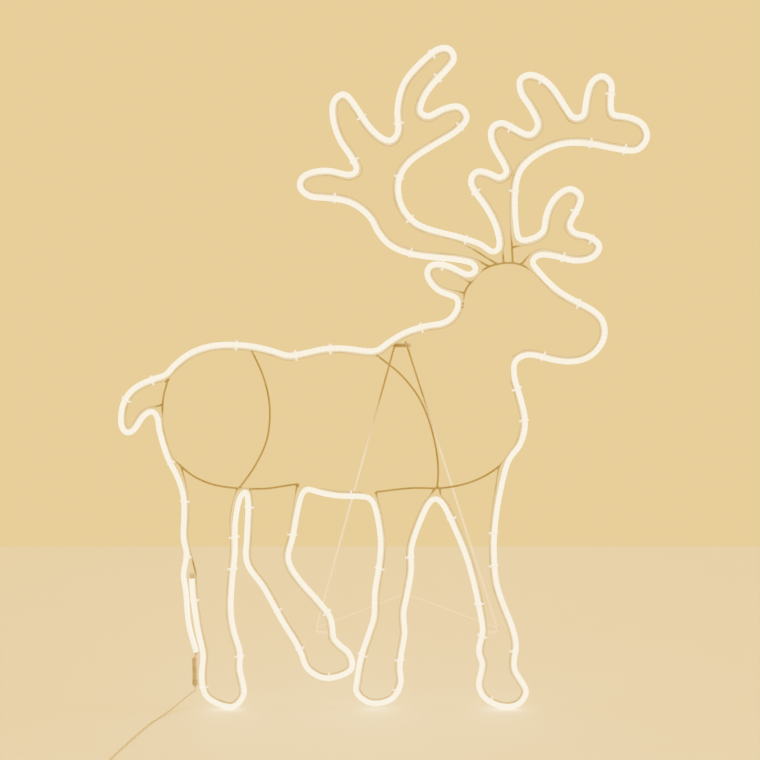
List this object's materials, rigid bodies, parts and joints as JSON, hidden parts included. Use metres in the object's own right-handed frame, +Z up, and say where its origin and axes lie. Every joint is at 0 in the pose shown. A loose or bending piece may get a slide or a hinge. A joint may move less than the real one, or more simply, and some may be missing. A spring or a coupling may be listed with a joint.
{
  "type": "light-up yard reindeer",
  "caption": "Flat standing reindeer of bent wire outlined in LED rope light, with a folding wire stand and a low-voltage lead.",
  "frame": {"origin": "on the ground, under the middle of the box round the figure and its open stand, lead left out", "axes": "+Z up, +X towards the reindeer's nose, +Y towards the stand's feet; the figure's flat frame lies across Y"},
  "size_m": [1.0246, 0.7799, 1.203],
  "materials": {
    "opal_rope": "translucent opal flex, lit warm white",
    "led_strip": "white flexible strip",
    "white_wire": "white powder coat",
    "clear_plastic": "clear",
    "grey_plastic": "translucent grey-beige",
    "clear_cord": "clear PVC over two wires",
    "adapter_plastic": "satin",
    "metal": "plated"
  },
  "bodies": {
    "figure": {"neon_rope_jacket": "opal_rope", "led_strip": "led_strip", "rope_feed_cap": "clear_plastic", "rope_end_cap": "clear_plastic", "back_and_neck_wire": "white_wire", "head_and_face_wire": "white_wire", "chest_wire": "white_wire", "belly_wire": "white_wire", "rump_wire": "white_wire", "tail_wire": "white_wire", "ear_wire": "white_wire", "left_antler_wire": "white_wire", "right_antler_wire": "white_wire", "brow_tine_wire": "white_wire", "far_fore_leg_wire": "white_wire", "near_fore_leg_wire": "white_wire", "far_hind_leg_wire": "white_wire", "near_hind_leg_wire": "white_wire", "rear_rib_wire": "white_wire", "front_rib_wire": "white_wire", "cable_tie_1": "clear_plastic", "cable_tie_2": "clear_plastic", "cable_tie_3": "clear_plastic", "cable_tie_4": "clear_plastic", "cable_tie_5": "clear_plastic", "cable_tie_6": "clear_plastic", "cable_tie_7": "clear_plastic", "cable_tie_8": "clear_plastic", "cable_tie_9": "clear_plastic", "cable_tie_10": "clear_plastic", "cable_tie_11": "clear_plastic", "cable_tie_12": "clear_plastic", "cable_tie_13": "clear_plastic", "cable_tie_14": "clear_plastic", "cable_tie_15": "clear_plastic", "cable_tie_16": "clear_plastic", "cable_tie_17": "clear_plastic", "cable_tie_18": "clear_plastic", "cable_tie_19": "clear_plastic", "hinge_pin": "white_wire", "hinge_end_cap": "clear_plastic", "connector_socket": "grey_plastic", "connector_seal": "grey_plastic", "connector_plug": "grey_plastic", "connector_pin_left": "metal", "connector_pin_right": "metal", "feed_pigtail": "clear_cord", "lead_cord": "clear_cord", "adapter_cord": "clear_cord", "lead_coil": "clear_cord", "coil_tie": "clear_plastic", "power_adapter": "adapter_plastic", "adapter_prong_left": "metal", "adapter_prong_right": "metal"},
    "stand": {"stand_hinge_sleeve": "white_wire", "stand_leg_left": "white_wire", "stand_leg_right": "white_wire", "stand_brace": "white_wire"},
    "connector_nut": {"connector_nut": "grey_plastic"}
  },
  "joints": [
    {"name": "stand_fold", "type": "hinge", "parent": "figure", "child": "stand", "pos_m": [0.04024, -0.18036, 0.68716], "axis": [1, 0, 0], "range_deg": [-27, 0]},
    {"name": "connector_nut_turn", "type": "hinge", "parent": "figure", "child": "connector_nut", "pos_m": [-0.34276, -0.18466, 0.05376], "axis": [0, 0, 1], "range_deg": [0, 360]}
  ]
}
